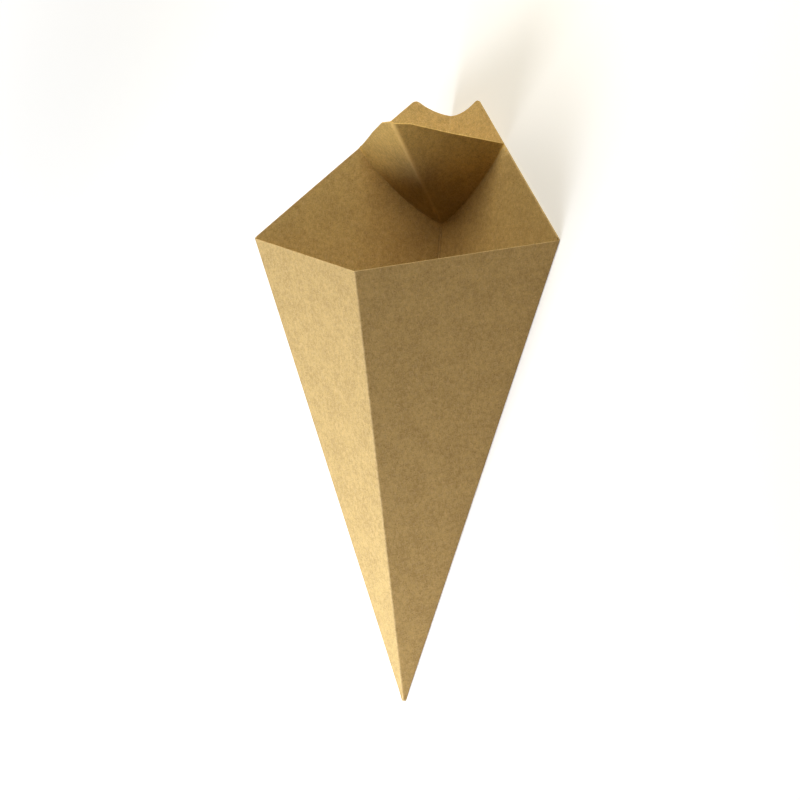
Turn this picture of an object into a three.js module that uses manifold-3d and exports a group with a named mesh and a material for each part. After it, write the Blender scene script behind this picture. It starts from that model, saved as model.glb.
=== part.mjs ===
// Fries cone folded and glued from one sheet of kraft board, with a sauce pocket in its back.
// Four panels meet at a blunt tip. The back is two plies: the outer ply ends in a thumb notch
// between two rounded peaks, and the inner ply's pointed tongue is popped forward along a curved
// fold, so that the pocket opens between the tongue and the outer ply.
// The cone is open as in use and lies on its right back panel. Millimetres, +Z up, +Y to the mouth.
import * as THREE from 'three';
import { mergeVertices } from 'three/addons/utils/BufferGeometryUtils.js';
import Module from 'manifold-3d';

// Board
const boardThickness = 0.45;
const foldSetback = 0.9; // a fold's round starts this far from its corner, at the mouth
const tipHeight = 3; // the blunt tip, above the point where the creases would meet

// Cone: crease lengths from the virtual tip, and each crease's lean from the cone's axis
const sideCrease = 200;
const frontCrease = 183;
const sideLean = THREE.MathUtils.degToRad(19.7);
const frontLean = THREE.MathUtils.degToRad(14.6);
const backLean = THREE.MathUtils.degToRad(10.8);

// Back panels: heights are distances up the back crease from the virtual tip
const backPointHeight = 265; // where the two upper edges would meet
const notchDepth = 22; // from there down to the notch's floor
const notchRadius = 25;
const peakRadius = 2.5;

// Sauce pocket, in the same flat measures
const pocketHeight = 198; // foot of the pocket, on the back crease
const pocketHalfWidth = 36; // from the crease to where the fold runs out at the upper edge
const pocketFoldRadius = 85;
const tongueCut = 4.5; // the tongue's point is cut this short on its ridge
const tongueEndHalfWidth = 7.5; // and the cut meets the upper edge this far from the ridge
const tongueSideGap = 0.5; // the tongue's free side stops this short of the fold's end
const tongueLap = 1; // the tongue's root runs into the glued ply below the fold by this much
const tongueBed = 0.1; // and its back is bedded into the outer ply by this much

// How far the outer form, which trims the panels, runs past the tallest of them
const formOverrun = 50;

// Fineness of the curves, and the distance at which two corners are one
const mergeDistance = 1e-4;
const arcSegments = 12;
const foldSegments = 3;
const tongueColumns = 12;
const tongueEndColumns = 3;
const tongueRows = 3;

// Colour of the unbleached board
const kraftColour = 0xb98f56;

const wasm = await Module();
wasm.setup();

// Directions of the creases and the frame of each right-hand panel

const sideDirection = new THREE.Vector3(Math.sin(sideLean), 0, Math.cos(sideLean));
const frontDirection = new THREE.Vector3(0, -Math.sin(frontLean), Math.cos(frontLean));
const backDirection = new THREE.Vector3(0, Math.sin(backLean), Math.cos(backLean));

// A panel's frame: up its middle crease, across to the side crease, and inward to the hollow.
function panelFrame(creaseDirection) {
  const up = creaseDirection.clone();
  const across = sideDirection.clone().addScaledVector(up, -sideDirection.dot(up)).normalize();
  const inward = new THREE.Vector3().crossVectors(across, up).normalize();
  if (inward.x > 0) inward.negate();
  return { up, across, inward };
}

const frontPanel = panelFrame(frontDirection);
const backPanel = panelFrame(backDirection);

// Flat outlines, as x across from the middle crease and y up it

function mouthCorner(panel) {
  return new THREE.Vector2(
    sideCrease * sideDirection.dot(panel.across),
    sideCrease * sideDirection.dot(panel.up),
  );
}

const backCorner = mouthCorner(backPanel);
const backPoint = new THREE.Vector2(0, backPointHeight);
const edgeDirection = backCorner.clone().sub(backPoint).normalize();

// Point on the back's straight upper edge at a distance across from the crease.
function onUpperEdge(across) {
  return backPoint.clone().addScaledVector(edgeDirection, across / edgeDirection.x);
}

const notchCentre = new THREE.Vector2(0, backPointHeight - notchDepth + notchRadius);

// Round of a peak: it touches the upper edge and the notch.
function peakRound() {
  const intoBoard = new THREE.Vector2(edgeDirection.y, -edgeDirection.x);
  const start = backPoint.clone().addScaledVector(intoBoard, peakRadius);
  const fromNotch = start.clone().sub(notchCentre);
  const reach = notchRadius + peakRadius;
  const half = fromNotch.dot(edgeDirection);
  const along = -half + Math.sqrt(half * half - fromNotch.lengthSq() + reach * reach);
  const centre = start.addScaledVector(edgeDirection, along);
  const onEdge = centre.clone().addScaledVector(intoBoard, -peakRadius);
  const toNotch = notchCentre.clone().sub(centre);
  return { centre, onEdge, toNotch };
}

const pocketFoot = new THREE.Vector2(0, pocketHeight);
const pocketEnd = onUpperEdge(pocketHalfWidth);

// Centre of the pocket's curved fold line, which bows away from the pocket.
function foldCentre() {
  const chord = pocketEnd.clone().sub(pocketFoot);
  const toPocket = new THREE.Vector2(-chord.y, chord.x).normalize();
  const offset = Math.sqrt(pocketFoldRadius ** 2 - chord.lengthSq() / 4);
  return pocketFoot.clone().add(pocketEnd).multiplyScalar(0.5).addScaledVector(toPocket, offset);
}

const pocketFoldCentre = foldCentre();

function frontOutline() {
  const corner = mouthCorner(frontPanel);
  const shape = new THREE.Shape();
  shape.moveTo(0, 0);
  shape.lineTo(corner.x, corner.y);
  shape.lineTo(0, frontCrease);
  return shape;
}

function outerPlyOutline() {
  const { centre, onEdge, toNotch } = peakRound();
  const edgeAngle = Math.atan2(onEdge.y - centre.y, onEdge.x - centre.x);
  const notchAngle = Math.atan2(-toNotch.y, -toNotch.x);
  const shape = new THREE.Shape();
  shape.moveTo(0, 0);
  shape.lineTo(backCorner.x, backCorner.y);
  shape.absarc(centre.x, centre.y, peakRadius, edgeAngle, toNotch.angle(), false);
  shape.absarc(notchCentre.x, notchCentre.y, notchRadius, notchAngle, -Math.PI / 2, true);
  return shape;
}

// Distance from the tip to the fold line, in the direction an angle off the back crease.
function foldReach(angle) {
  const direction = new THREE.Vector2(Math.sin(angle), Math.cos(angle));
  const half = direction.dot(pocketFoldCentre);
  return half - Math.sqrt(half * half - pocketFoldCentre.lengthSq() + pocketFoldRadius ** 2);
}

// Angles off the back crease, from the crease to the tongue's side, with one at its cut corner.
function tongueAngles() {
  const corner = onUpperEdge(tongueEndHalfWidth);
  const side = onUpperEdge(pocketHalfWidth - tongueSideGap);
  const cornerAngle = Math.atan2(corner.x, corner.y);
  const sideAngle = Math.atan2(side.x, side.y);
  const angles = [];
  for (let column = 0; column < tongueEndColumns; column += 1) {
    angles.push(cornerAngle * column / tongueEndColumns);
  }
  for (let column = 0; column <= tongueColumns; column += 1) {
    angles.push(THREE.MathUtils.lerp(cornerAngle, sideAngle, column / tongueColumns));
  }
  return angles;
}

function gluedPlyOutline() {
  const shape = new THREE.Shape();
  shape.moveTo(0, 0);
  shape.lineTo(backCorner.x, backCorner.y);
  shape.lineTo(pocketEnd.x, pocketEnd.y);
  for (const angle of tongueAngles().reverse()) {
    const reach = foldReach(angle);
    shape.lineTo(reach * Math.sin(angle), reach * Math.cos(angle));
  }
  return shape;
}

// Solids from geometry

function toManifold(geometry) {
  return new wasm.Manifold(new wasm.Mesh({
    numProp: 3,
    vertProperties: new Float32Array(geometry.getAttribute('position').array),
    triVerts: new Uint32Array(geometry.getIndex().array),
  }));
}

function toGeometry(solid) {
  const { vertProperties, triVerts } = solid.getMesh();
  const indexed = new THREE.BufferGeometry();
  indexed.setAttribute('position', new THREE.BufferAttribute(new Float32Array(vertProperties), 3));
  indexed.setIndex(new THREE.BufferAttribute(new Uint32Array(triVerts), 1));
  const faceted = indexed.toNonIndexed();
  faceted.computeVertexNormals();
  return faceted;
}

// Geometry placed by a matrix, its faces turned outward again where the matrix mirrors it.
function placed(geometry, matrix) {
  const bare = new THREE.BufferGeometry();
  bare.setAttribute('position', geometry.getAttribute('position').clone());
  bare.setIndex(geometry.getIndex());
  const copy = mergeVertices(bare, mergeDistance).applyMatrix4(matrix);
  if (matrix.determinant() > 0) return copy;
  const index = copy.getIndex();
  for (let corner = 0; corner < index.count; corner += 3) {
    const kept = index.getX(corner);
    index.setX(corner, index.getX(corner + 1));
    index.setX(corner + 1, kept);
  }
  return copy;
}

// Mirror image in the cone's plane of symmetry, x = 0.
function mirrored(geometry) {
  return placed(geometry, new THREE.Matrix4().makeScale(-1, 1, 1));
}

// A panel cut square from the board. It stands a little proud, for the cone's outer form to trim.
function plate(outline, panel, thickness) {
  const proud = boardThickness;
  const geometry = new THREE.ExtrudeGeometry(outline, {
    depth: thickness + proud,
    bevelEnabled: false,
    curveSegments: arcSegments,
  });
  geometry.translate(0, 0, -thickness);
  const outward = panel.inward.clone().negate();
  return placed(geometry, new THREE.Matrix4().makeBasis(panel.across, panel.up, outward));
}

// Outer form of the folded cone: a four-sided pyramid with rounded folds and a blunt tip.
function outerForm() {
  const top = Math.max(backPointHeight, sideCrease, frontCrease) + formOverrun;
  const corners = [
    new THREE.Vector2(top * Math.tan(sideLean), 0),
    new THREE.Vector2(0, top * Math.tan(backLean)),
    new THREE.Vector2(-top * Math.tan(sideLean), 0),
    new THREE.Vector2(0, -top * Math.tan(frontLean)),
  ];
  const setback = foldSetback * top / (sideCrease * Math.cos(sideLean));
  const shape = new THREE.Shape();
  corners.forEach((corner, index) => {
    const before = corners[(index + 3) % 4].clone().sub(corner).setLength(setback).add(corner);
    const after = corners[(index + 1) % 4].clone().sub(corner).setLength(setback).add(corner);
    if (index === 0) shape.moveTo(before.x, before.y);
    else shape.lineTo(before.x, before.y);
    shape.quadraticCurveTo(corner.x, corner.y, after.x, after.y);
  });
  const geometry = new THREE.ExtrudeGeometry(shape, {
    depth: 1,
    bevelEnabled: false,
    curveSegments: foldSegments,
  });
  const position = geometry.getAttribute('position');
  for (let index = 0; index < position.count; index += 1) {
    const height = position.getZ(index) > 0.5 ? top : tipHeight;
    const share = height / top;
    position.setXYZ(index, position.getX(index) * share, position.getY(index) * share, height);
  }
  return placed(geometry, new THREE.Matrix4());
}

// The tongue: each line from the virtual tip that crosses the curved fold carries on, past the
// fold, to the tongue's mirrored upper edge. Both layers of the ply are laid on these lines.

// Distance from the tip to the straight line through two points, in the same direction.
function lineReach(angle, from, to) {
  const normal = new THREE.Vector2(from.y - to.y, to.x - from.x);
  return normal.dot(from) / (normal.x * Math.sin(angle) + normal.y * Math.cos(angle));
}

// Depth of the inner ply's middle below the outer face
const innerPlyDepth = 1.5 * boardThickness;

// Frame of the ply at an angle: across and inward change side with the crease, and meet on it.
function plyFrame(angle) {
  const side = Math.sign(angle);
  const across = backPanel.across.clone();
  const inward = backPanel.inward.clone();
  across.x *= side;
  inward.x *= side;
  if (side === 0) inward.multiplyScalar(1 / inward.lengthSq());
  return { across, inward };
}

function onBackPanel(angle, reach, depth) {
  const { across, inward } = plyFrame(angle);
  return backPanel.up.clone().multiplyScalar(reach * Math.cos(angle))
    .addScaledVector(across, reach * Math.sin(Math.abs(angle)))
    .addScaledVector(inward, depth);
}

// Plane through the pocket's foot and the fold's two ends, at the middle of the inner ply.
function foldPlane() {
  const endAngle = Math.atan2(pocketEnd.x, pocketEnd.y);
  return new THREE.Plane().setFromCoplanarPoints(
    onBackPanel(0, pocketHeight, innerPlyDepth),
    onBackPanel(-endAngle, pocketEnd.length(), innerPlyDepth),
    onBackPanel(endAngle, pocketEnd.length(), innerPlyDepth),
  );
}

function reflect(point, plane) {
  return point.clone().addScaledVector(plane.normal, -2 * plane.distanceToPoint(point));
}

function layers(middle, facing, toFront, toBack) {
  return [
    middle.clone().addScaledVector(facing, toFront),
    middle.clone().addScaledVector(facing, -toBack),
  ];
}

// One line of the tongue, from its root to its upper edge, as pairs of front and back points.
function tongueLine(angle, plane) {
  const { inward } = plyFrame(angle);
  const facing = inward.clone().addScaledVector(plane.normal, -2 * plane.normal.dot(inward)).negate();
  const bend = inward.clone().add(facing).multiplyScalar(1 / (1 + backPanel.inward.dot(facing)));
  const magnitude = Math.abs(angle);
  const corner = onUpperEdge(tongueEndHalfWidth);
  const edge = lineReach(magnitude, backPoint, backCorner);
  const end = lineReach(magnitude, new THREE.Vector2(0, backPointHeight - tongueCut), corner);
  const fold = foldReach(magnitude);
  const foldPoint = onBackPanel(angle, fold, innerPlyDepth);
  const topPoint = reflect(onBackPanel(angle, Math.min(edge, end), innerPlyDepth), plane);
  const half = boardThickness / 2;
  const root = onBackPanel(angle, fold - tongueLap, innerPlyDepth);
  const pairs = [layers(root, inward, half - tongueBed, half + tongueBed)];
  pairs.push(layers(foldPoint, bend, half, half + tongueBed));
  for (let row = 1; row <= tongueRows; row += 1) {
    pairs.push(layers(foldPoint.clone().lerp(topPoint, row / tongueRows), facing, half, half));
  }
  return pairs;
}

function tongue() {
  const plane = foldPlane();
  const rightAngles = tongueAngles();
  const leftAngles = rightAngles.slice(1).reverse().map((angle) => -angle);
  const lines = [...leftAngles, ...rightAngles].map((angle) => tongueLine(angle, plane));
  const rows = lines[0].length;
  const positions = [];
  for (const line of lines) {
    for (const [front, back] of line) positions.push(...front.toArray(), ...back.toArray());
  }
  const at = (column, row, layer) => (column * rows + row) * 2 + layer;
  const indices = [];
  const quad = (a, b, c, d) => indices.push(a, b, c, a, c, d);
  const lastColumn = lines.length - 1;
  const lastRow = rows - 1;
  for (let column = 0; column < lastColumn; column += 1) {
    const next = column + 1;
    for (let row = 0; row < lastRow; row += 1) {
      const above = row + 1;
      quad(at(column, row, 0), at(next, row, 0), at(next, above, 0), at(column, above, 0));
      quad(at(column, row, 1), at(column, above, 1), at(next, above, 1), at(next, row, 1));
    }
    quad(at(column, 0, 0), at(column, 0, 1), at(next, 0, 1), at(next, 0, 0));
    quad(at(column, lastRow, 0), at(next, lastRow, 0), at(next, lastRow, 1), at(column, lastRow, 1));
  }
  for (let row = 0; row < lastRow; row += 1) {
    const above = row + 1;
    quad(at(0, row, 0), at(0, above, 0), at(0, above, 1), at(0, row, 1));
    quad(
      at(lastColumn, row, 0),
      at(lastColumn, row, 1),
      at(lastColumn, above, 1),
      at(lastColumn, above, 0),
    );
  }
  const geometry = new THREE.BufferGeometry();
  geometry.setAttribute('position', new THREE.Float32BufferAttribute(positions, 3));
  geometry.setIndex(indices);
  return geometry;
}

// The whole sheet, folded and glued

function foldedSheet() {
  const rightHalf = [
    plate(frontOutline(), frontPanel, boardThickness),
    plate(outerPlyOutline(), backPanel, boardThickness),
    plate(gluedPlyOutline(), backPanel, 2 * boardThickness),
  ];
  const pieces = [...rightHalf, ...rightHalf.map(mirrored), tongue()];
  const joined = pieces.map(toManifold).reduce((whole, piece) => whole.add(piece));
  return toGeometry(joined.intersect(toManifold(outerForm())));
}

const kraft = new THREE.MeshStandardMaterial({ color: kraftColour, roughness: 0.9, metalness: 0 });
const cone = new THREE.Mesh(foldedSheet(), kraft);
cone.name = 'folded_cone';

// Lay the cone on its right back panel, with its axis over +Y and its box centred on the origin.
function layDown(mesh) {
  const up = backPanel.inward;
  const forward = new THREE.Vector3(0, 0, 1).projectOnPlane(up).normalize();
  const right = new THREE.Vector3().crossVectors(forward, up);
  const turn = new THREE.Matrix4().makeBasis(right, forward, up).transpose();
  mesh.setRotationFromMatrix(turn);
  mesh.updateMatrixWorld(true);
  const centre = new THREE.Box3().setFromObject(mesh, true).getCenter(new THREE.Vector3());
  mesh.position.set(-centre.x, -centre.y, 0);
}

layDown(cone);

const group = new THREE.Group();
group.add(cone);

export default group;
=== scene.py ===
import math

import bmesh
import bpy
import numpy as np
from mathutils import Matrix, Vector


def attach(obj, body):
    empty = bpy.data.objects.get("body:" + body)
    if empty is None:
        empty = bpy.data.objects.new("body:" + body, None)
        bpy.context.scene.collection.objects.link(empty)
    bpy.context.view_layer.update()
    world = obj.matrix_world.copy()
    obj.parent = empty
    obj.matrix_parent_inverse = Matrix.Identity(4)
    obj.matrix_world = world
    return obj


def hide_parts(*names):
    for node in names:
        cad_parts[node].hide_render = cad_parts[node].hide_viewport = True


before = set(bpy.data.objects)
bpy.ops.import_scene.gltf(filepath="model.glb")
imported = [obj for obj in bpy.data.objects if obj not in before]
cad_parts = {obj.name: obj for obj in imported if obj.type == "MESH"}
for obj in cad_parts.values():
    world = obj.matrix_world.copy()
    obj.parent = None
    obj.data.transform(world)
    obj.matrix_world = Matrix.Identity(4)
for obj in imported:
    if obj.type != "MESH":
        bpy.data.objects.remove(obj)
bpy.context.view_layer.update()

MM = 0.001
FAR = 1000.0  # the distance given for off_ridge where there is no ridge, in millimetres
FIELDS = ("below_rim", "off_crease", "off_ridge", "groove", "tone")

# Sizes of the sheet. A few are a little off the part's, to follow the cone in the photograph
BOARD = 0.45 * MM
TIP_HEIGHT = 3 * MM
HOLLOW_FOOT = 4 * TIP_HEIGHT
SIDE_CREASE = 200 * MM
FRONT_CREASE = 182.2 * MM
SIDE_LEAN = math.radians(19.7)
FRONT_LEAN = math.radians(14.6)
BACK_LEAN = math.radians(10.8)
BACK_POINT = 265 * MM
NOTCH_DEPTH = 22.5 * MM
NOTCH_RADIUS = 26 * MM
PEAK_RADIUS = 2.5 * MM
POCKET_HEIGHT = 198 * MM
POCKET_HALF_WIDTH = 36 * MM
TONGUE_CUT = 3.2 * MM
TONGUE_END_HALF_WIDTH = 7.5 * MM

# How the cone in the photograph differs from the part's even shape: its back crease and its
# tongue's ridge are off centre, and each half of the pocket's fold line bends its own way
BACK_SKEW = 1.5 * MM
TONGUE_SKEW = -1.0 * MM
FOLD_FOOT = np.array([0.0, 197.4]) * MM
FOLD_HALF_WIDTH = 37.0 * MM
LEFT_FOLD_BEND = np.array([16.0, 203.0]) * MM
RIGHT_FOLD_BEND = np.array([15.0, 201.5]) * MM
LEFT_FOLD_EASE = 3.5 * MM  # where the tongue is shorter than this it isn't folded all the way
RIGHT_FOLD_EASE = 1.5 * MM

# Softness of the folds: how far from a crease its round starts
FOLD_SETBACK = 0.75 * MM
RIDGE_SETBACK = 1.9 * MM
POCKET_FOLD_SETBACK = 0.9 * MM
MAX_FOLD_ANGLE = 0.1  # near the tip a fold's round spans no more than this, in radians

# The inner ply, and the bead scored along its back crease
PLY_DEPTH = 1.45 * BOARD
PLY_FOOT = 6 * TIP_HEIGHT
PLY_MARGIN = 1.2 * MM
PLY_FLAT_SHIFT = 311.0  # moves the inner ply's grain away from the outer ply's, in millimetres
BEAD_HEIGHT = 0.22 * MM
BEAD_HALF_WIDTH = 0.45 * MM
GROOVE_DEPTH = 0.12 * MM
GROOVE_PLACE = 0.85 * MM
GROOVE_HALF_WIDTH = 0.25 * MM
SCORE_START, SCORE_END, SCORE_FADE = 60 * MM, 198 * MM, 2 * MM

# Fineness of the meshes
PANEL_COLUMNS = 36
# Columns across a fold, with 1 where its round ends
FOLD_COLUMNS = (-2.4, -1.9, -1.55, -1.25, -1.0, -0.75, -0.5, -0.25, 0.0,
                0.25, 0.5, 0.75, 1.0, 1.25, 1.55, 1.9, 2.4)
SHEET_ROWS = 64
RIM_ROWS = np.array([2.0, 1.0, 0.5, 0.2, 0.0]) * MM
NOTCH_COLUMNS, PEAK_COLUMNS = 13, 11
TONGUE_END_COLUMNS, TONGUE_COLUMNS, GLUED_COLUMNS = 9, 44, 20
POCKET_FOLD_ROWS = 9
TONGUE_ROWS = 24
TONGUE_ROW_POWER = 1.5  # above 1, the tongue's rows lie closer together at its rim
FOLD_LINE_POINTS = 60
SHORTEST_TONGUE = 0.001 * MM
MERGE_DISTANCE = 0.001 * MM
SHARP_ANGLE = math.radians(38)

# Camera, in the cone's own frame: +Z along its axis and the front crease towards -Y
CAMERA_PLACE = Vector((590.8, -1267.6, 204.8)) * MM
CAMERA_RIGHT = Vector((0.90587, 0.42355, 0.00061))
CAMERA_DOWN = Vector((0.02496, -0.05195, -0.99834))
LENS = 157.5
SENSOR = 36.0

# Light and floor, in the part's frame
LIGHT_TARGET = (0.0, 0.0, 0.03)
LIGHT_SIZE = 0.3
LIGHTS = {  # place, power and colour
    "key": ((-0.3, -0.41, 0.45), 3.45, (0.96, 0.97, 1.0)),
    "tip_fill": ((-0.1, -0.42, 0.1), 2.75, (0.71, 0.83, 1.0)),
    "warm_tip_fill": ((0.1, -0.42, 0.12), 0.8, (1.0, 0.88, 0.75)),
    "mouth_fill": ((0.09, 0.46, 0.39), 1.85, (1.0, 0.86, 0.65)),
    "low_mouth_fill": ((0.05, 0.6, 0.15), 1.3, (0.84, 0.97, 0.87)),
}
WORLD_COLOUR = (1.0, 0.88, 0.74, 1)
WORLD_STRENGTH = 0.01
FLOOR_COLOUR = (0.60, 0.51, 0.40, 1)
FLOOR_SEEN = (0.85, 0.85, 0.85, 1)
FLOOR_GLOW = 0.3  # near the cone, where its shadow shows
FAR_FLOOR_GLOW = 1.0
NEAR_FLOOR, FAR_FLOOR = 0.28, 0.7
FLOOR_HALF_WIDTH = 4
FLOOR_DROP = 0.1 * MM

# Kraft board: colours are linear, sizes in millimetres
DARK_KRAFT = (0.41, 0.285, 0.109, 1)
PALE_KRAFT = (0.67, 0.485, 0.200, 1)
PALE_FIBRE = (0.78, 0.60, 0.34, 1)
# dark fibres, also used for the painted shade in the grooves
DARK_FIBRE_AND_GROOVE_SHADE = (0.30, 0.195, 0.085, 1)
FLECK = (0.17, 0.10, 0.045, 1)
WORN_KRAFT = (0.70, 0.53, 0.30, 1)
CUT_KRAFT = (0.74, 0.57, 0.33, 1)
# paler ridge of the tongue: partly worn fibres, partly a painted highlight
RIDGE_WEAR_AND_HIGHLIGHT_KRAFT = (0.85, 0.63, 0.30, 1)
CLOUD_SIZE, MOTTLE_SIZE, GRAIN_SIZE = 9.0, 1.9, 0.6
CLOUD, MOTTLE, GRAIN = 0.18, 0.26, 0.26
FIBRE_SIZE = (0.28, 2.6)
FIBRE_ANGLES = (0.2, 0.9, 1.7, 2.5, 3.0)
PALE_FIBRE_RANGE, DARK_FIBRE_RANGE = (0.60, 0.72), (0.62, 0.72)
PALE_FIBRES, DARK_FIBRES = 0.35, 0.30
FLECK_SPACING = 3.6
FLECKS = 0.5
CREASE_WEAR = 0.35
# partly wear, partly a painted highlight along the tongue's ridge
RIDGE_WEAR_AND_HIGHLIGHT = 0.7
CUT_EDGE = 0.18
# painted shade in the two grooves along the back crease
GROOVE_SHADE = 0.8
BUMP_STRENGTH, BUMP_DISTANCE = 0.35, 0.1 * MM
ROUGHNESS, SPECULAR = 0.86, 0.25

# Painted light and shade of the board's faces, multiplied into its colour, each found by the tone that
# the mesh keeps
PLAIN_TONE, BACK_TONE, TONGUE_TONE = 0.0, 1.0, 2.0
# the outside and the glued ply, a little darker and warmer; the other faces are painted lighter or
# darker against it
PLAIN_TINT = (0.97, 0.93, 0.87, 1)
BACK_PAINTED_LIGHT = (1.27, 1.28, 1.30, 1)  # painted light on the outer ply's inside
TONGUE_RIM_PAINTED_LIGHT = (1.26, 1.17, 0.85, 1)  # painted light on the tongue near its rim
TONGUE_FOOT_PAINTED_SHADE = (0.72, 0.71, 0.72, 1)  # painted shade on the tongue towards the foot of the pocket
DEEP_FROM, DEEP_TO = 8, 45  # how far below the rim the tongue's painted shade begins and is full
RIDGE_SHARE_IN_SHADE = 0.6  # the share of the ridge's paler wear and painted highlight that is left there


# Directions of the creases from the virtual tip, in the cone's own frame

def unit(vector):
    return vector / np.linalg.norm(vector, axis=-1, keepdims=True)


RIGHT_CREASE = np.array([math.sin(SIDE_LEAN), 0, math.cos(SIDE_LEAN)])
LEFT_CREASE = RIGHT_CREASE * [-1, 1, 1]
FRONT_DIRECTION = np.array([0, -math.sin(FRONT_LEAN), math.cos(FRONT_LEAN)])
BACK_DIRECTION = np.array([0, math.sin(BACK_LEAN), math.cos(BACK_LEAN)])
CREASES = [BACK_DIRECTION, RIGHT_CREASE, FRONT_DIRECTION, LEFT_CREASE, BACK_DIRECTION]
BACK_ANGLE = math.acos(BACK_DIRECTION @ RIGHT_CREASE)
FRONT_ANGLE = math.acos(FRONT_DIRECTION @ RIGHT_CREASE)
PANEL_ANGLES = [BACK_ANGLE, FRONT_ANGLE, FRONT_ANGLE, BACK_ANGLE]
TURN_STARTS = np.concatenate([[0], np.cumsum(PANEL_ANGLES)])
FULL_TURN = TURN_STARTS[-1]


def panel_axes(index):
    """Unit vectors along a panel's first crease and across it, and its outward normal."""
    along = CREASES[index]
    across = CREASES[index + 1] - (CREASES[index + 1] @ along) * along
    across = across / np.linalg.norm(across)
    return along, across, np.cross(along, across)


PANELS = [panel_axes(index) for index in range(4)]
UP = -PANELS[0][2]
BACK_INWARD = -unit(PANELS[0][2] + PANELS[3][2])


def fold_round(reach, setback):
    """Half the angle that a fold's round spans, at a distance from the tip."""
    return np.minimum(setback / reach, MAX_FOLD_ANGLE)


def on_cone(turn, reach, setback=FOLD_SETBACK):
    """Point and outward normal of the folded surface, its folds rounded by averaging over them."""
    turn, reach = np.broadcast_arrays(turn, reach)
    half = fold_round(reach, setback)
    low, high = turn - half, turn + half
    direction = np.zeros(turn.shape + (3,))
    normal = np.zeros(turn.shape + (3,))
    for index, (along, across, outward) in enumerate(PANELS):
        for whole_turn in (-FULL_TURN, 0, FULL_TURN):
            start = TURN_STARTS[index] + whole_turn
            first = np.clip(low, start, start + PANEL_ANGLES[index]) - start
            last = np.clip(high, start, start + PANEL_ANGLES[index]) - start
            direction += (np.sin(last) - np.sin(first))[..., None] * along
            direction += (np.cos(first) - np.cos(last))[..., None] * across
            normal += (last - first)[..., None] * outward
    return unit(direction) * reach[..., None], unit(normal)


# Flat outlines of the back, as x across from the back crease and y up it

BACK_CORNER = SIDE_CREASE * np.array([math.sin(BACK_ANGLE), math.cos(BACK_ANGLE)])
POINT = np.array([0, BACK_POINT])
EDGE = unit(BACK_CORNER - POINT)


def on_upper_edge(across):
    return POINT + EDGE * across / EDGE[0]


def line_reach(angle, start, end):
    """Distance from the tip to the line through two points, at an angle off the crease."""
    normal = np.array([start[1] - end[1], end[0] - start[0]])
    return (normal @ start) / (normal[0] * np.sin(angle) + normal[1] * np.cos(angle))


def circle_reach(angle, centre, radius, far):
    """Distance from the tip to the far or the near side of a circle, at an angle off the crease."""
    half = centre[0] * np.sin(angle) + centre[1] * np.cos(angle)
    root = np.sqrt(np.maximum(half * half - centre @ centre + radius ** 2, 0))
    return half + root if far else half - root


NOTCH_CENTRE = np.array([0, BACK_POINT - NOTCH_DEPTH + NOTCH_RADIUS])


def peak_round():
    """Centre of a peak's round, and the angles off the crease where it starts and ends."""
    into_board = np.array([EDGE[1], -EDGE[0]])
    start = POINT + into_board * PEAK_RADIUS
    from_notch = start - NOTCH_CENTRE
    apart = NOTCH_RADIUS + PEAK_RADIUS
    half = from_notch @ EDGE
    along = -half + math.sqrt(half ** 2 - from_notch @ from_notch + apart ** 2)
    centre = start + EDGE * along
    on_edge = centre - into_board * PEAK_RADIUS
    on_notch = centre + unit(NOTCH_CENTRE - centre) * PEAK_RADIUS
    return centre, math.atan2(*on_notch), math.atan2(*on_edge)


PEAK_CENTRE, PEAK_START, PEAK_END = peak_round()


def skew_at(angle, skew):
    """Angle by which an outline is moved there: all of the skew at the crease, none at the side."""
    return skew / BACK_POINT * (1 - np.abs(angle) / BACK_ANGLE)


def back_reach(angle):
    """Top of the outer ply at an angle off the back crease, to the right of it where above 0."""
    size = np.abs(angle - skew_at(angle, BACK_SKEW))
    notch = circle_reach(size, NOTCH_CENTRE, NOTCH_RADIUS, False)
    peak = circle_reach(size, PEAK_CENTRE, PEAK_RADIUS, True)
    edge = line_reach(size, POINT, BACK_CORNER)
    return np.where(size < PEAK_START, notch, np.where(size < PEAK_END, peak, edge))


FRONT_CORNER = SIDE_CREASE * np.array([math.sin(FRONT_ANGLE), math.cos(FRONT_ANGLE)])


def sheet_reach(turn):
    """Top of the outer sheet anywhere round the cone."""
    off_back = (turn + FULL_TURN / 2) % FULL_TURN - FULL_TURN / 2
    from_front = FULL_TURN / 2 - np.abs(off_back)
    front = line_reach(from_front, np.array([0, FRONT_CREASE]), FRONT_CORNER)
    return np.where(np.abs(off_back) <= BACK_ANGLE, back_reach(off_back), front)


def fold_line(bend):
    """Angles and reaches along one half of the pocket's fold, a curve pulled towards its bend."""
    share = np.linspace(0, 1, FOLD_LINE_POINTS)[:, None]
    end = on_upper_edge(FOLD_HALF_WIDTH)
    line = (1 - share) ** 2 * FOLD_FOOT + 2 * share * (1 - share) * bend + share ** 2 * end
    return np.arctan2(line[:, 0], line[:, 1]), np.linalg.norm(line, axis=1)


LEFT_FOLD, RIGHT_FOLD = fold_line(LEFT_FOLD_BEND), fold_line(RIGHT_FOLD_BEND)
FOLD_END_ANGLE = RIGHT_FOLD[0][-1]
TONGUE_CORNER_ANGLE = math.atan2(*on_upper_edge(TONGUE_END_HALF_WIDTH))


def inner_reach(angle):
    """Top of the inner ply when it was flat: the upper edge, and the tongue's cut point."""
    glued = np.clip(2 * np.abs(angle) / FOLD_END_ANGLE - 1, 0, 1)
    skew = TONGUE_SKEW + (BACK_SKEW - TONGUE_SKEW) * glued
    size = np.abs(angle - skew_at(angle, skew))
    edge = line_reach(size, POINT, BACK_CORNER)
    cut_point = POINT - np.array([0, TONGUE_CUT])
    end = line_reach(size, cut_point, on_upper_edge(TONGUE_END_HALF_WIDTH))
    return np.minimum(edge, end)


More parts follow.
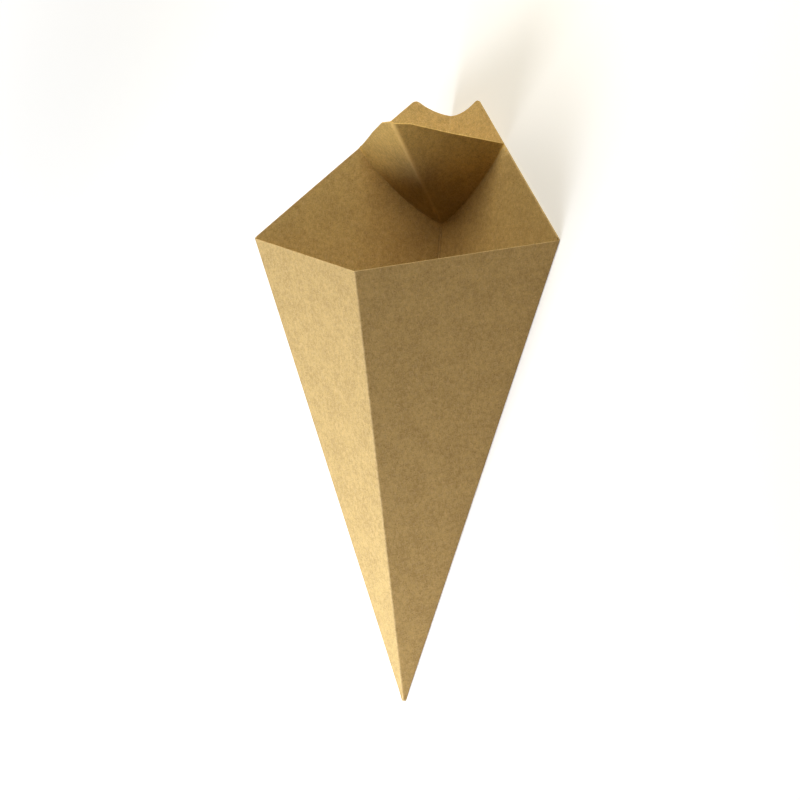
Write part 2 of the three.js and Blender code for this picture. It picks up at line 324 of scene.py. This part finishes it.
def fold_reach(angle):
    """Distance from the tip to the pocket's fold line, or to the ply's top beside the pocket."""
    size = np.abs(angle)
    left, right = np.interp(size, *LEFT_FOLD), np.interp(size, *RIGHT_FOLD)
    fold = np.where(angle < 0, left, right)
    return np.where(size < FOLD_END_ANGLE, np.minimum(fold, inner_reach(angle)), inner_reach(angle))


# Meshes

def rows_to(top, foot):
    """Distances from the tip of one column's points, closer together at its rim."""
    return np.concatenate([np.linspace(foot, top - RIM_ROWS[0], SHEET_ROWS)[:-1], top - RIM_ROWS])


def flat_place(turn, reach):
    """Where a point lay on the flat blank, in millimetres."""
    return np.stack([reach * np.sin(turn), reach * np.cos(turn)], axis=-1) / MM


def column_shares():
    """Columns between the creases of each panel, as shares of it; the back has more at its peaks."""
    back = np.concatenate([
        np.linspace(0, PEAK_START, NOTCH_COLUMNS + 1)[1:],
        np.linspace(PEAK_START, PEAK_END, PEAK_COLUMNS + 1)[1:],
        np.linspace(PEAK_END, BACK_ANGLE, PANEL_COLUMNS)[1:-1],
    ])
    skew = skew_at(back, BACK_SKEW)
    right, left = (back + skew) / BACK_ANGLE, (back - skew) / BACK_ANGLE
    front = np.linspace(0, 1, PANEL_COLUMNS)[1:-1]
    return [right, front, front, 1 - left[::-1]]


def column_turns():
    """One function from reach to turn for each column of the sheet."""
    outermost = FOLD_COLUMNS[-1] * 1.02

    def by_crease(crease, offset):
        return lambda reach: crease + offset * fold_round(reach, FOLD_SETBACK)

    def by_share(start, span, share):
        def turn(reach):
            clear = outermost * fold_round(reach, FOLD_SETBACK)
            return start + np.clip(share * span, clear, span - clear)
        return turn

    columns = []
    for panel, shares in enumerate(column_shares()):
        start, span = TURN_STARTS[panel], PANEL_ANGLES[panel]
        columns += [by_crease(start, offset) for offset in FOLD_COLUMNS if offset >= 0]
        columns += [by_share(start, span, share) for share in shares]
        columns += [by_crease(start + span, offset) for offset in FOLD_COLUMNS if offset < 0]
    return columns + [by_crease(FULL_TURN, 0)]


def sheet_grid(foot):
    """Turn, reach and distance below the rim of every point of the outer sheet."""
    turns, reaches, below = [], [], []
    for turn_at in column_turns():
        top = SIDE_CREASE
        for _ in range(8):
            top = float(sheet_reach(turn_at(top)))
        reach = rows_to(top, foot)
        turns.append(turn_at(reach))
        reaches.append(reach)
        below.append(top - reach)
    return np.array(turns), np.array(reaches), np.array(below)


def from_crease(turn, reach):
    """Distance on the sheet to its nearest crease."""
    return np.min(np.abs(turn[..., None] - TURN_STARTS), axis=-1) * reach


def groove_at(turn, reach):
    """How far a point is into one of the two grooves along the back crease, from 0 to 1."""
    offset = (np.abs(turn * reach) - GROOVE_PLACE) / GROOVE_HALF_WIDTH
    below_pocket = np.clip((SCORE_END - reach) / SCORE_FADE, 0, 1)
    return np.exp(-offset ** 2) * below_pocket * np.clip((reach - SCORE_START) / SCORE_FADE, 0, 1)


def score(turn, reach):
    """Height of the bead pressed up along the back crease, between its two grooves."""
    bead = BEAD_HEIGHT * np.exp(-(turn * reach / BEAD_HALF_WIDTH) ** 2)
    below_pocket = np.clip((SCORE_END - reach) / SCORE_FADE, 0, 1)
    return bead * below_pocket - GROOVE_DEPTH * groove_at(turn, reach)


class Sheet:
    """A closed sheet between two grids of points, given as columns by rows."""

    def __init__(self, sides, flats, fields, closed):
        """Takes two grids of points and of flat places, and each named field's two grids."""
        self.columns = sides[0].shape[0] - (1 if closed else 0)
        self.rows = sides[0].shape[1]
        self.closed = closed
        self.flats = flats
        self.points = np.concatenate([side[:self.columns].reshape(-1, 3) for side in sides])
        self.fields = {
            name: np.concatenate([grid[:self.columns].ravel() for grid in grids])
            for name, grids in fields.items()
        }
        self.corners = self.find_corners()

    def find_corners(self):
        """Every face as corners of side, column and row."""
        last = self.rows - 1
        faces = []
        for column in range(self.columns if self.closed else self.columns - 1):
            following = column + 1
            for row in range(last):
                square = [(column, row), (following, row), (following, row + 1), (column, row + 1)]
                faces.append([(1, *place) for place in square])
                faces.append([(0, *place) for place in square[::-1]])
            rim = [(0, column), (0, following), (1, following), (1, column)]
            faces.append([(*place, last) for place in rim])
            if not self.closed:
                foot = [(0, following), (0, column), (1, column), (1, following)]
                faces.append([(*place, 0) for place in foot])
        if self.closed:
            faces.append([(0, column, 0) for column in range(self.columns)])
            faces.append([(1, column, 0) for column in reversed(range(self.columns))])
        else:
            end = self.columns - 1
            for row in range(last):
                faces.append([(0, 0, row), (0, 0, row + 1), (1, 0, row + 1), (1, 0, row)])
                faces.append([(0, end, row + 1), (0, end, row), (1, end, row), (1, end, row + 1)])
        return faces

    def point_index(self, side, column, row):
        return (side * self.columns + column % self.columns) * self.rows + row

    def to_object(self, name):
        mesh = bpy.data.meshes.new(name)
        faces = [[self.point_index(*corner) for corner in face] for face in self.corners]
        mesh.from_pydata(self.points.tolist(), [], faces)
        flat = mesh.uv_layers.new(name="flat")
        places = [self.flats[side][column, row] for face in self.corners for side, column, row in face]
        flat.data.foreach_set("uv", np.array(places, dtype=np.float32).ravel())
        for label, values in self.fields.items():
            attribute = mesh.attributes.new(label, "FLOAT", "POINT")
            attribute.data.foreach_set("value", values.astype(np.float32))
        obj = bpy.data.objects.new(name, mesh)
        bpy.context.scene.collection.objects.link(obj)
        return obj


def outer_sheet():
    """The four panels in one ply, from the blunt tip to the rim."""
    sides, flats = [], []
    fields = {name: [] for name in FIELDS}
    for depth, foot, tone in ((0, TIP_HEIGHT, PLAIN_TONE), (BOARD, HOLLOW_FOOT, BACK_TONE)):
        turn, reach, below = sheet_grid(foot)
        point, normal = on_cone(turn, reach)
        sides.append(point - normal * depth)
        flats.append(flat_place(turn - FULL_TURN / 2, reach))
        fields["below_rim"].append(below / MM)
        fields["off_crease"].append(from_crease(turn, reach) / MM)
        fields["off_ridge"].append(np.full_like(reach, FAR))
        fields["groove"].append(np.zeros_like(reach))
        fields["tone"].append(np.full_like(reach, tone))
    return Sheet(sides, flats, fields, closed=True)


def reflect(point, foot, normal):
    """Mirror image of points in the plane through a foot, across its normal."""
    return point - 2 * ((point - foot) @ normal)[..., None] * normal


def ply_columns():
    """Angles of the inner ply's columns off the back crease."""
    half = np.unique(np.concatenate([
        np.linspace(0, TONGUE_CORNER_ANGLE, TONGUE_END_COLUMNS),
        np.linspace(TONGUE_CORNER_ANGLE, FOLD_END_ANGLE, TONGUE_COLUMNS),
        np.linspace(FOLD_END_ANGLE, BACK_ANGLE - PLY_MARGIN / SIDE_CREASE, GLUED_COLUMNS),
    ]))
    ridge = np.array(FOLD_COLUMNS) * FOLD_SETBACK / POCKET_HEIGHT
    sides = np.concatenate([-half[::-1], half])
    sides = sides + skew_at(sides, TONGUE_SKEW)
    sides = sides[np.abs(sides) > ridge[-1] * 1.2]
    return np.concatenate([sides[sides < 0], ridge, sides[sides > 0]])


def on_ply(angle, reach, setback=FOLD_SETBACK):
    """Middle of the inner ply where it is glued to the back, with its scored crease."""
    point, normal = on_cone(angle, reach, setback)
    return point - normal * (PLY_DEPTH + score(angle, reach))[..., None]


def folding_plane():
    """Foot and normal of the plane in which the popped tongue mirrors its flat shape."""
    foot = on_cone(np.array(0.0), np.array(POCKET_HEIGHT))[0] - BACK_INWARD * PLY_DEPTH
    end = on_upper_edge(POCKET_HALF_WIDTH)
    ends = [on_cone(np.array(side * math.atan2(*end)), np.linalg.norm(end)) for side in (-1, 1)]
    left, right = [point - normal * PLY_DEPTH for point, normal in ends]
    return foot, unit(np.cross(left - foot, right - foot))


def between_directions(start, end, share):
    """Directions a share of the way from one to another on a circle."""
    angle = np.arccos(np.clip(np.sum(start * end, axis=1), -1, 1))
    angle = np.maximum(angle, 1e-5)
    turned = np.sin((1 - share) * angle)[:, None] * start + np.sin(share * angle)[:, None] * end
    return unit(turned)


def tongue_rise(angles, fold):
    """Per column: the point on the fold, the ply's direction below and above it, the length above."""
    top = np.maximum(inner_reach(angles), fold)
    foot, normal = folding_plane()
    on_fold = on_ply(angles, fold)
    straight = unit(on_cone(angles, fold)[0])
    mirrored_top = reflect(on_ply(angles, top, RIDGE_SETBACK), foot, normal)
    length = np.linalg.norm(mirrored_top - on_fold, axis=1)
    length = np.where(top - fold > SHORTEST_TONGUE, length, 0)
    folded = np.where(length[:, None] > 0, unit(mirrored_top - on_fold + 1e-12), straight)
    ease = np.clip(length / np.where(angles < 0, LEFT_FOLD_EASE, RIGHT_FOLD_EASE), 0, 1)
    rising = between_directions(straight, folded, ease * ease * (3 - 2 * ease))
    return on_fold, straight, rising, length


def ply_rows(angles, fold):
    """Rows of points up the inner ply's middle, with each row's directions and reaches."""
    on_fold, straight, rising, length = tongue_rise(angles, fold)
    setback = np.minimum(POCKET_FOLD_SETBACK, 0.45 * length)
    rows = []
    for share in np.linspace(0, 1, SHEET_ROWS):
        reach = PLY_FOOT + (fold - setback - PLY_FOOT) * share
        rows.append((on_ply(angles, reach), straight, reach))
    before, after = rows[-1][0], on_fold + rising * setback[:, None]
    for share in np.linspace(0, 1, POCKET_FOLD_ROWS)[1:]:
        point = (1 - share) ** 2 * before + 2 * share * (1 - share) * on_fold + share ** 2 * after
        tangent = unit((1 - share) * straight + share * rising)
        rows.append((point, tangent, fold - setback + 2 * setback * share))
    for share in 1 - (1 - np.linspace(0, 1, TONGUE_ROWS)[1:]) ** TONGUE_ROW_POWER:
        along = setback + (length - setback) * share
        rows.append((on_fold + rising * along[:, None], rising, fold + along))
    middle, tangent, reach = [np.array(part) for part in zip(*rows)]
    return middle, tangent, reach, length


def inner_ply():
    """The second ply: glued to the back below the curved fold, and popped forward above it."""
    angles = ply_columns()
    fold = fold_reach(angles)
    middle, tangent, reach, length = ply_rows(angles, fold)
    reach = reach.T
    facing = unit(np.cross(np.gradient(middle, axis=1), tangent))
    front = np.swapaxes(middle + facing * BOARD / 2, 0, 1)
    back = np.swapaxes(middle - facing * BOARD / 2, 0, 1)
    turn = np.broadcast_to(angles[:, None], reach.shape)
    flat = flat_place(turn, reach) + PLY_FLAT_SHIFT
    on_tongue = reach > fold[:, None]
    fields = {
        "below_rim": (fold[:, None] + length[:, None] - reach) / MM,
        "off_crease": np.minimum(np.abs(turn) * reach, np.abs(reach - fold[:, None])) / MM,
        "off_ridge": np.where(on_tongue, np.abs(turn) * reach / MM, FAR),
        "groove": groove_at(turn, reach),
        "tone": np.where(on_tongue, TONGUE_TONE, PLAIN_TONE),
    }
    both = {name: [grid, grid] for name, grid in fields.items()}
    return Sheet([back, front], [flat, flat], both, closed=False)


def to_row_frame():
    """Matrix from the cone's own frame to the part's: laid on its right back panel."""
    up = Vector(UP)
    axis = Vector((0, 0, 1))
    forward = (axis - up * axis.dot(up)).normalized()
    right = forward.cross(up)
    return Matrix((right, forward, up)).to_4x4()


def dress():
    """The folded cone as one object, and the matrix that laid it in the part's frame."""
    sheets = [outer_sheet().to_object("kraft_cone"), inner_ply().to_object("inner_ply")]
    turn = to_row_frame()
    for sheet in sheets:
        sheet.data.transform(turn)
    places = [vertex.co for vertex in sheets[0].data.vertices]
    middle = [
        (min(place[axis] for place in places) + max(place[axis] for place in places)) / 2
        for axis in (0, 1)
    ]
    placing = Matrix.Translation((-middle[0], -middle[1], 0)) @ turn
    mesh = bmesh.new()
    for sheet in sheets:
        mesh.from_mesh(sheet.data)
    mesh.transform(placing @ turn.inverted())
    bmesh.ops.remove_doubles(mesh, verts=mesh.verts, dist=MERGE_DISTANCE)
    bmesh.ops.dissolve_degenerate(mesh, edges=mesh.edges, dist=MERGE_DISTANCE / 10)
    cone = sheets[0]
    mesh.to_mesh(cone.data)
    mesh.free()
    bpy.data.objects.remove(sheets[1])
    cone.data.shade_smooth()
    cone.data.set_sharp_from_angle(angle=SHARP_ANGLE)
    return cone, placing


class Nodes:
    """Short calls for one material's node tree."""

    def __init__(self, name):
        self.material = bpy.data.materials.new(name)
        self.material.use_nodes = True
        self.tree = self.material.node_tree
        self.tree.nodes.clear()

    def add(self, kind, inputs=None, **settings):
        node = self.tree.nodes.new(kind)
        for key, value in settings.items():
            setattr(node, key, value)
        for key, value in (inputs or {}).items():
            self.feed(node.inputs[key], value)
        return node

    def feed(self, socket, value):
        if isinstance(value, bpy.types.NodeSocket):
            self.tree.links.new(value, socket)
        else:
            socket.default_value = value

    def math(self, operation, first, second=0.0):
        return self.add("ShaderNodeMath", {0: first, 1: second}, operation=operation).outputs[0]

    def ramp(self, value, low, high, out_low=0.0, out_high=1.0):
        node = self.add(
            "ShaderNodeMapRange",
            {"Value": value, "From Min": low, "From Max": high, "To Min": out_low, "To Max": out_high},
            interpolation_type="SMOOTHSTEP",
        )
        return node.outputs["Result"]

    def noise(self, place, size, detail=2.0, roughness=0.5):
        """Noise whose features are about that many millimetres, from 0 to 1."""
        node = self.add(
            "ShaderNodeTexNoise",
            {"Vector": place, "Scale": 1 / size, "Detail": detail, "Roughness": roughness},
            noise_dimensions="2D",
        )
        return node.outputs["Fac"]

    def stretched(self, place, angle, across, along):
        """The flat place turned and squeezed, so that round noise becomes strands."""
        turned = self.add(
            "ShaderNodeVectorRotate",
            {"Vector": place, "Angle": angle},
            rotation_type="Z_AXIS",
        )
        scaled = self.add(
            "ShaderNodeVectorMath",
            {0: turned.outputs[0], 1: (1 / across, 1 / along, 1)},
            operation="MULTIPLY",
        )
        return scaled.outputs[0]

    def blend(self, factor, first, second, mode="MIX"):
        node = self.add("ShaderNodeMix", data_type="RGBA", blend_type=mode)
        self.feed(node.inputs[0], factor)
        self.feed(node.inputs[6], first)
        self.feed(node.inputs[7], second)
        return node.outputs[2]

    def attribute(self, name):
        return self.add("ShaderNodeAttribute", attribute_name=name).outputs["Fac"]


def strands(nodes, place):
    """Masks of short pale and dark fibres that lie in several directions."""
    pale, dark = 0.0, 0.0
    for index, angle in enumerate(FIBRE_ANGLES):
        field = nodes.noise(nodes.stretched(place, angle, *FIBRE_SIZE), 1.0, detail=1.5)
        if index % 2:
            dark = nodes.math("MAXIMUM", nodes.ramp(field, *DARK_FIBRE_RANGE), dark)
        else:
            pale = nodes.math("MAXIMUM", nodes.ramp(field, *PALE_FIBRE_RANGE), pale)
    return pale, dark


def flecks(nodes, place):
    """Mask of sparse small specks of bark."""
    cells = nodes.add(
        "ShaderNodeTexVoronoi",
        {"Vector": place, "Scale": 1 / FLECK_SPACING},
        voronoi_dimensions="2D",
    )
    near = nodes.ramp(cells.outputs["Distance"], 0.03, 0.075, 1.0, 0.0)
    chosen = nodes.add("ShaderNodeSeparateColor", {0: cells.outputs["Color"]}).outputs[0]
    return nodes.math("MULTIPLY", near, nodes.ramp(chosen, 0.55, 0.6))


def pulp_colour(nodes, place, mottle, grain):
    """Clouded brown pulp with its fibres and specks, and the mask of the pale fibres."""
    cloud = nodes.noise(place, CLOUD_SIZE, detail=3.0, roughness=0.6)
    cloudy = nodes.ramp(cloud, 0.3, 0.7, -CLOUD, CLOUD)
    mottled = nodes.ramp(mottle, 0.3, 0.7, -MOTTLE, MOTTLE)
    grainy = nodes.ramp(grain, 0.25, 0.75, -GRAIN, GRAIN)
    shade = nodes.math("ADD", nodes.math("ADD", cloudy, mottled), grainy)
    colour = nodes.blend(nodes.ramp(shade, -1.0, 1.0), DARK_KRAFT, PALE_KRAFT)
    pale, dark = strands(nodes, place)
    colour = nodes.blend(nodes.math("MULTIPLY", pale, PALE_FIBRES), colour, PALE_FIBRE)
    colour = nodes.blend(nodes.math("MULTIPLY", dark, DARK_FIBRES), colour, DARK_FIBRE_AND_GROOVE_SHADE)
    colour = nodes.blend(nodes.math("MULTIPLY", flecks(nodes, place), FLECKS), colour, FLECK)
    return colour, pale


def worn_lit_and_shaded_colour(nodes, colour, mottle, below):
    """The colour with paler creases and cut edges, a paler ridge that is partly wear and partly a
    painted highlight, and painted shade in the grooves.
    """
    crease = nodes.ramp(nodes.attribute("off_crease"), 0.1, 0.9, 1.0, 0.0)
    worn = nodes.math("MULTIPLY", crease, nodes.ramp(mottle, 0.35, 0.6))
    colour = nodes.blend(nodes.math("MULTIPLY", worn, CREASE_WEAR), colour, WORN_KRAFT)
    # the tongue's ridge: worn fibres and a painted highlight, fading into the painted shade further
    # below the rim
    ridge = nodes.ramp(nodes.attribute("off_ridge"), 0.2, 2.2, RIDGE_WEAR_AND_HIGHLIGHT, 0.0)
    ridge = nodes.math("MULTIPLY", ridge, nodes.ramp(below, DEEP_FROM, DEEP_TO, 1.0, RIDGE_SHARE_IN_SHADE))
    colour = nodes.blend(ridge, colour, RIDGE_WEAR_AND_HIGHLIGHT_KRAFT)
    # painted shade in the two grooves along the back crease
    groove = nodes.math("MULTIPLY", nodes.attribute("groove"), GROOVE_SHADE)
    colour = nodes.blend(groove, colour, DARK_FIBRE_AND_GROOVE_SHADE)
    return nodes.blend(nodes.ramp(below, 0.05, 0.45, CUT_EDGE, 0.0), colour, CUT_KRAFT)


def face_painted_light(nodes, below):
    """Painted light and shade of each face, by its tone and, on the tongue, by the distance below its
    rim: painted light near the rim, painted shade towards the pocket's foot.
    """
    tone = nodes.attribute("tone")
    plain_or_back_light = nodes.blend(nodes.math("MINIMUM", tone, BACK_TONE), PLAIN_TINT, BACK_PAINTED_LIGHT)
    tongue_light_and_shade = nodes.blend(nodes.ramp(below, DEEP_FROM, DEEP_TO), TONGUE_RIM_PAINTED_LIGHT, TONGUE_FOOT_PAINTED_SHADE)
    return nodes.blend(nodes.ramp(tone, 1.2, 1.8), plain_or_back_light, tongue_light_and_shade)


def kraft_board():
    """Brown uncoated board: clouded pulp, fibres, specks, paler cut edges and worn creases, with light
    and shade painted on each face, a painted highlight with the wear along the tongue's ridge, and
    painted shade in the grooves.
    """
    nodes = Nodes("kraft_board")
    place = nodes.add("ShaderNodeUVMap", uv_map="flat").outputs[0]
    mottle = nodes.noise(place, MOTTLE_SIZE, detail=4.0, roughness=0.65)
    grain = nodes.noise(place, GRAIN_SIZE, detail=2.0)
    below = nodes.attribute("below_rim")
    colour, pale = pulp_colour(nodes, place, mottle, grain)
    colour = worn_lit_and_shaded_colour(nodes, colour, mottle, below)
    # multiplies in each face's painted light and shade
    colour = nodes.blend(1.0, colour, face_painted_light(nodes, below), mode="MULTIPLY")
    relief = nodes.math("ADD", nodes.math("MULTIPLY", grain, 0.5), nodes.math("MULTIPLY", mottle, 0.6))
    relief = nodes.math("ADD", relief, nodes.math("MULTIPLY", pale, 0.25))
    bump = nodes.add(
        "ShaderNodeBump",
        {"Strength": BUMP_STRENGTH, "Distance": BUMP_DISTANCE, "Height": relief},
    )
    shader = nodes.add("ShaderNodeBsdfPrincipled", {"Base Color": colour, "Normal": bump.outputs[0]})
    shader.inputs["Roughness"].default_value = ROUGHNESS
    shader.inputs["Specular IOR Level"].default_value = SPECULAR
    output = nodes.add("ShaderNodeOutputMaterial")
    nodes.feed(output.inputs["Surface"], shader.outputs[0])
    return nodes.material


def stage_floor():
    """A pale floor that the camera sees as white, with the cone's soft shadow on it."""
    mesh = bpy.data.meshes.new("floor")
    signs = [(-1, -1), (1, -1), (1, 1), (-1, 1)]
    corners = [(x * FLOOR_HALF_WIDTH, y * FLOOR_HALF_WIDTH, 0) for x, y in signs]
    mesh.from_pydata(corners, [], [(0, 1, 2, 3)])
    floor = bpy.data.objects.new("floor", mesh)
    floor.location.z = -FLOOR_DROP
    bpy.context.scene.collection.objects.link(floor)
    nodes = Nodes("pale_floor")
    rays = nodes.add("ShaderNodeLightPath")
    seen = nodes.math("MAXIMUM", rays.outputs["Is Camera Ray"], rays.outputs["Is Glossy Ray"])
    seen = nodes.math("MAXIMUM", seen, rays.outputs["Is Transmission Ray"])
    colour = nodes.blend(seen, FLOOR_COLOUR, FLOOR_SEEN)
    diffuse = nodes.add("ShaderNodeBsdfDiffuse", {"Color": colour})
    place = nodes.add("ShaderNodeNewGeometry").outputs["Position"]
    away = nodes.add("ShaderNodeVectorMath", {0: place}, operation="LENGTH").outputs["Value"]
    level = nodes.ramp(away, NEAR_FLOOR, FAR_FLOOR, FLOOR_GLOW, FAR_FLOOR_GLOW)
    glow = nodes.add("ShaderNodeEmission", {"Strength": nodes.math("MULTIPLY", seen, level)})
    both = nodes.add("ShaderNodeAddShader", {0: diffuse.outputs[0], 1: glow.outputs[0]})
    output = nodes.add("ShaderNodeOutputMaterial")
    nodes.feed(output.inputs["Surface"], both.outputs[0])
    mesh.materials.append(nodes.material)
    return floor


def add_light(name, place, power, colour):
    data = bpy.data.lights.new(name, "AREA")
    data.energy = power
    data.size = LIGHT_SIZE
    data.color = colour
    light = bpy.data.objects.new(name, data)
    light.location = place
    aim = Vector(LIGHT_TARGET) - Vector(place)
    light.rotation_euler = aim.to_track_quat("-Z", "Y").to_euler()
    bpy.context.scene.collection.objects.link(light)


def add_world():
    """A faint warm surround, which the camera sees as white."""
    world = bpy.data.worlds.new("studio")
    bpy.context.scene.world = world
    world.use_nodes = True
    tree = world.node_tree
    background = tree.nodes["Background"]
    background.inputs["Color"].default_value = WORLD_COLOUR
    background.inputs["Strength"].default_value = WORLD_STRENGTH
    white = tree.nodes.new("ShaderNodeBackground")
    rays = tree.nodes.new("ShaderNodeLightPath")
    mix = tree.nodes.new("ShaderNodeMixShader")
    tree.links.new(rays.outputs["Is Camera Ray"], mix.inputs[0])
    tree.links.new(background.outputs[0], mix.inputs[1])
    tree.links.new(white.outputs[0], mix.inputs[2])
    white.inputs["Color"].default_value = (1, 1, 1, 1)
    tree.links.new(mix.outputs[0], tree.nodes["World Output"].inputs["Surface"])


def add_camera(placing):
    data = bpy.data.cameras.new("camera")
    data.lens = LENS
    data.sensor_width = SENSOR
    camera = bpy.data.objects.new("camera", data)
    bpy.context.scene.collection.objects.link(camera)
    right, up = CAMERA_RIGHT.normalized(), -CAMERA_DOWN.normalized()
    facing = Matrix((right, up, right.cross(up))).transposed().to_4x4()
    camera.matrix_world = placing @ Matrix.Translation(CAMERA_PLACE) @ facing
    bpy.context.scene.camera = camera


cone, placing = dress()
cone.data.materials.append(kraft_board())
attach(cone, "root")
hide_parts("folded_cone")
stage_floor()
for name, (place, power, colour) in LIGHTS.items():
    add_light(name, place, power, colour)
add_world()
add_camera(placing)
bpy.context.scene.view_settings.view_transform = "Standard"
